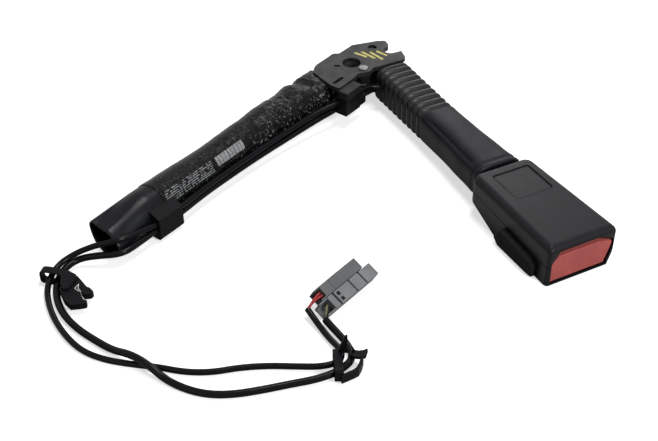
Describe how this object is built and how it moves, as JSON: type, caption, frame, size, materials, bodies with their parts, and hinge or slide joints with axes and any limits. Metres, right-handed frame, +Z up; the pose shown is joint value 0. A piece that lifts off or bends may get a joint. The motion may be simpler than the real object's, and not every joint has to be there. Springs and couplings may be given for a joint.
{
  "type": "seat belt buckle",
  "caption": "Front seat belt buckle on a bellows stalk, with its anchor bracket, wrapped pyrotechnic tensioner tube, and two leads with clips and connectors.",
  "frame": {"origin": "centre of the anchor bolt hole, in the middle of the upper plate's thickness", "axes": "+Z up along the anchor bolt, +X along the stalk from the bracket to the buckle's mouth, +Y across the plate, away from the tensioner tube"},
  "size_m": [0.2549, 0.2938, 0.0293],
  "materials": {
    "plated_steel": "satin yellow-zinc plate, dulled by handling",
    "cast_zinc": "die cast, matt",
    "aluminium_can": "drawn, satin",
    "rivet_steel": "bright, satin",
    "rope_steel": "stranded or turned, satin",
    "spring_steel": "bright drawn",
    "black_plastic": "fine moulded grain",
    "shell_plastic": "fine spark-eroded grain, satin",
    "soft_plastic": "smooth, satin",
    "shrink_wrap": "shrunk film, glossy in places",
    "boot_rubber": "moulded, satin",
    "seal_rubber": "moulded",
    "lead_sheath": "extruded, satin",
    "wire_insulation": "extruded, red, yellow and black",
    "felt": "needled felt, dark grey",
    "button_red": "fine grain, satin, red",
    "dark_connector": "moulded, dark grey",
    "grey_connector": "moulded, light grey"
  },
  "bodies": {
    "anchor": {"upper_plate": "plated_steel", "lower_plate": "plated_steel", "anchor_bush": "plated_steel", "guide_block": "cast_zinc", "gas_generator": "aluminium_can", "generator_plug": "black_plastic", "bracket_rivet": "rivet_steel", "foot_pin": "plated_steel", "tensioner_tube": "plated_steel", "tube_wrap": "shrink_wrap", "end_sleeve": "soft_plastic", "lower_lead_clip": "black_plastic", "upper_lead_clip": "black_plastic", "switch_lead_run": "lead_sheath", "igniter_lead_run": "lead_sheath", "wire_rope": "rope_steel", "bellows_boot": "boot_rubber", "switch_lead": "lead_sheath", "igniter_lead": "lead_sheath", "tie_strap": "black_plastic", "edge_clip": "black_plastic", "clip_insert": "spring_steel", "harness_clip": "black_plastic", "connector_a": "dark_connector", "connector_b": "grey_connector", "lead_wires": "wire_insulation"},
    "piston": {"piston": "rope_steel", "piston_seal": "seal_rubber", "lock_balls": "spring_steel", "rope_swage": "rope_steel"},
    "buckle": {"neck_sleeve": "soft_plastic", "upper_shell": "shell_plastic", "lower_shell": "shell_plastic", "felt_pad": "felt", "latch_frame": "plated_steel", "latch_axle": "spring_steel", "rope_ferrule": "rope_steel", "buckle_switch": "black_plastic", "button_springs": "spring_steel", "ejector_spring": "spring_steel"},
    "button": {"release_button": "button_red"},
    "latch": {"latch": "plated_steel"},
    "ejector": {"ejector": "black_plastic"}
  },
  "joints": [
    {"name": "buckle_pull", "type": "slide", "parent": "anchor", "child": "buckle", "axis": [-1, 0, 0], "range_m": [0, 0.032], "deforming": ["bellows_boot", "wire_rope"]},
    {"name": "piston_travel", "type": "slide", "parent": "anchor", "child": "piston", "axis": [0.4131, -0.9107, 0], "range_m": [0, 0.032]},
    {"name": "button_press", "type": "slide", "parent": "buckle", "child": "button", "axis": [-1, 0, 0], "range_m": [0, 0.006], "stiffness_N_per_m": 800, "springref_m": -0.003, "deforming": ["button_springs"]},
    {"name": "ejector_slide", "type": "slide", "parent": "buckle", "child": "ejector", "axis": [-1, 0, 0], "range_m": [0, 0.012], "stiffness_N_per_m": 400, "springref_m": -0.004, "deforming": ["ejector_spring"]},
    {"name": "latch_lift", "type": "hinge", "parent": "buckle", "child": "latch", "pos_m": [0.166, 0.0229, -0.014], "axis": [0, -1, 0], "range_deg": [0, 8]}
  ],
  "couplings": [
    {"joint": "piston_travel", "follows": "buckle_pull", "ratio": 1},
    {"joint": "latch_lift", "follows": "ejector_slide", "rad_per_m": 11.5}
  ]
}
